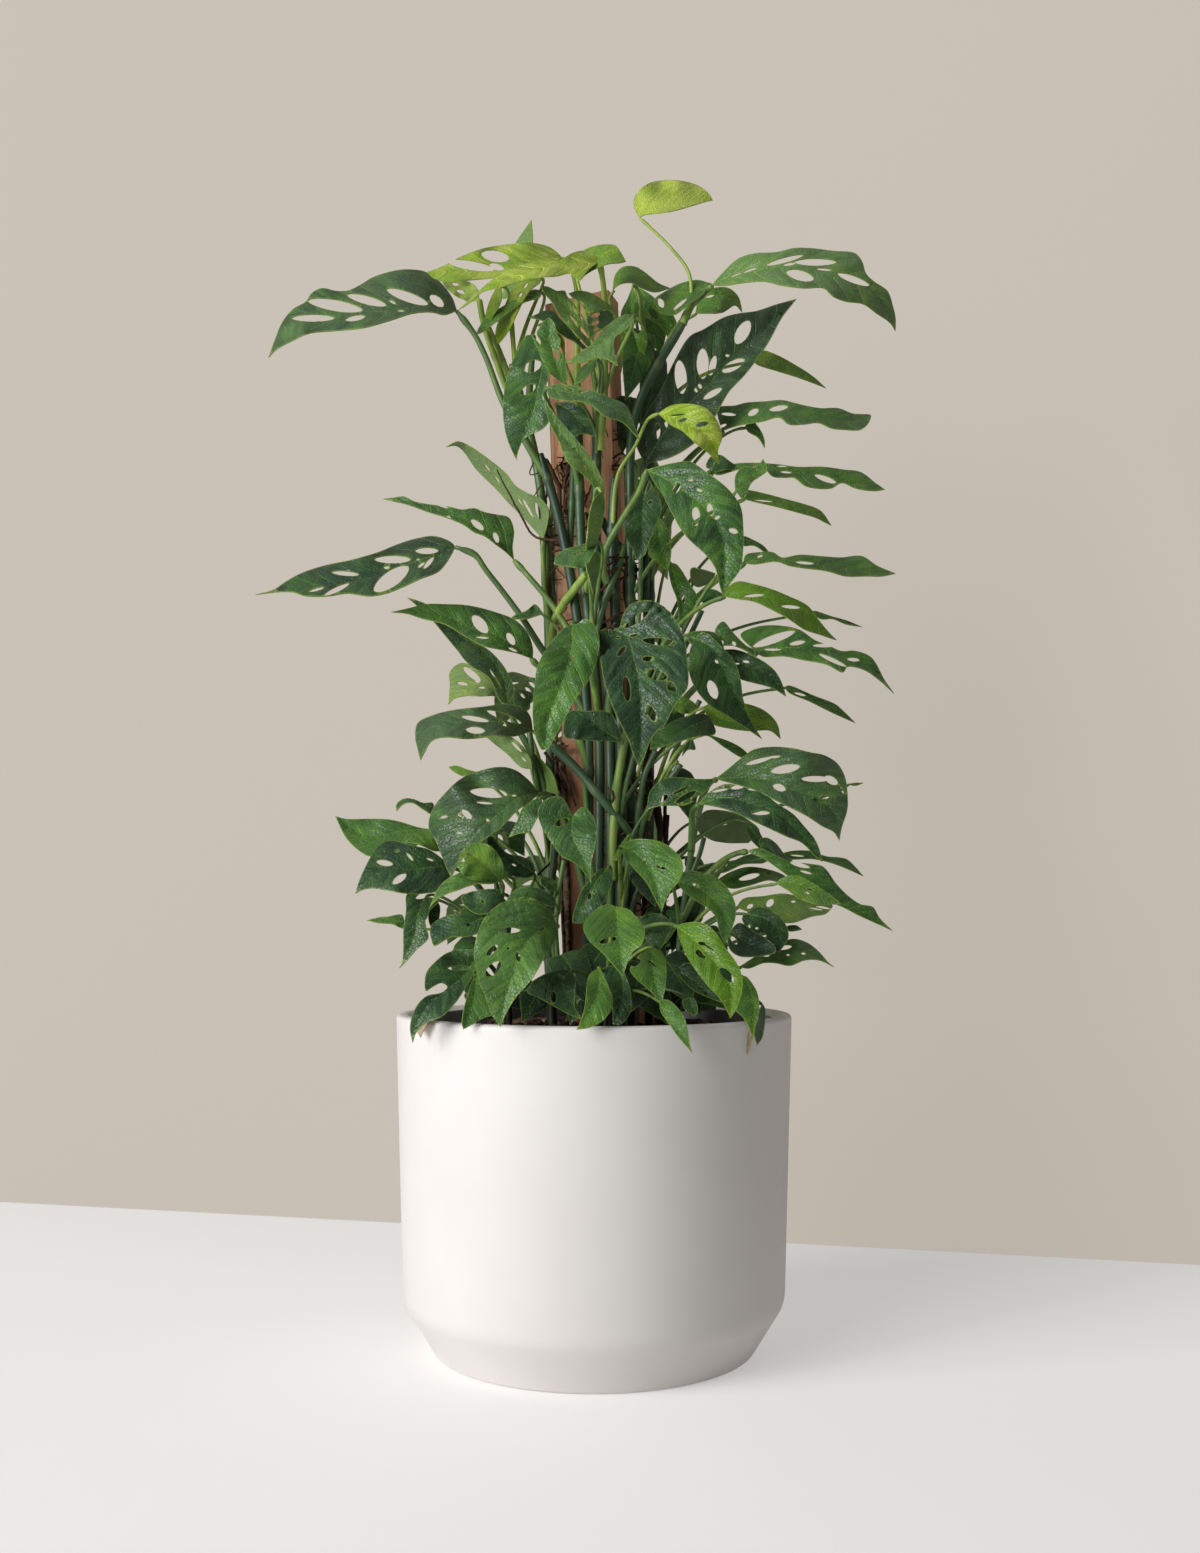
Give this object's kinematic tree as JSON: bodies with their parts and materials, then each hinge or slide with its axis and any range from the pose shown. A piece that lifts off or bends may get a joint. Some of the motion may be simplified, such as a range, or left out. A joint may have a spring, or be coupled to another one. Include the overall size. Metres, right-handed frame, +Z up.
{
  "type": "potted monstera adansonii on a wooden stake",
  "caption": "Climbing Swiss cheese plant with pierced leaves, trained up a sawn wooden stake in a nursery pot inside a round cover pot with a bevelled foot.",
  "frame": {"origin": "middle of the cover pot's foot, on the surface it stands on", "axes": "+Z up along the pot's axis, -Y towards the plant's front, +X to the right seen from the front"},
  "size_m": [0.4593, 0.3074, 0.8506],
  "materials": {
    "glaze": "matte white glaze",
    "nursery_plastic": "thin black moulded plastic",
    "soil": "damp potting mix with bark chips",
    "stake_wood": "rough sawn reddish softwood",
    "mature_leaf": "dark green leaf with a soft gloss",
    "new_leaf": "lime green young leaf with a soft gloss"
  },
  "bodies": {
    "root": {"glazed_pot": "glaze", "nursery_pot": "nursery_plastic", "soil": "soil", "stake": "stake_wood", "vine_left_front": "mature_leaf", "vine_left": "mature_leaf", "vine_left_new_leaf_1": "new_leaf", "vine_left_new_leaf_2": "new_leaf", "vine_left_back": "mature_leaf", "vine_low_left": "mature_leaf", "vine_centre_left": "mature_leaf", "vine_centre_left_new_leaf_1": "new_leaf", "vine_centre": "mature_leaf", "vine_centre_new_leaf_1": "new_leaf", "vine_centre_right": "mature_leaf", "vine_centre_right_new_leaf_1": "new_leaf", "vine_right_front": "mature_leaf", "vine_right_front_new_leaf_1": "new_leaf", "vine_right_front_new_leaf_2": "new_leaf", "vine_right": "mature_leaf", "vine_right_back": "mature_leaf", "vine_low_right": "mature_leaf", "vine_low_front": "mature_leaf", "vine_low_front_new_leaf_1": "new_leaf", "vine_back": "mature_leaf", "vine_back_new_leaf_1": "new_leaf"}
  },
  "joints": []
}
